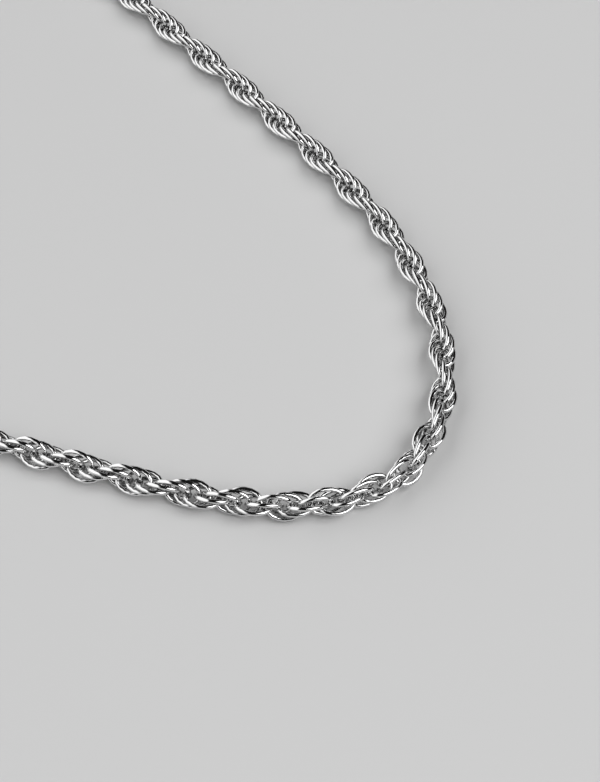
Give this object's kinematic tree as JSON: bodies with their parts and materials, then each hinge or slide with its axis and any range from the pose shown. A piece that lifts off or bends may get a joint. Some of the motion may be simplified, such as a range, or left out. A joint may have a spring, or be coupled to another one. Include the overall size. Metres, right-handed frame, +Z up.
{
  "type": "rope chain necklace",
  "caption": "Neck chain of oval wire links twisted into a rope, lying fastened in an open loop, with end caps, rings and a plain hook clasp.",
  "frame": {"origin": "middle of the loop's box, on the surface that the chain lies on", "axes": "+Z up; the clasp lies at -X and the rope's tight bend at +X and -Y"},
  "size_m": [0.1649, 0.163, 0.0067],
  "materials": {
    "polished_steel": "polished stainless steel"
  },
  "bodies": {
    "root": {"rope_chain": "polished_steel", "end_cap_far": "polished_steel", "end_cap_near": "polished_steel", "ring_far": "polished_steel", "ring_near": "polished_steel", "clasp": "polished_steel"}
  },
  "joints": []
}
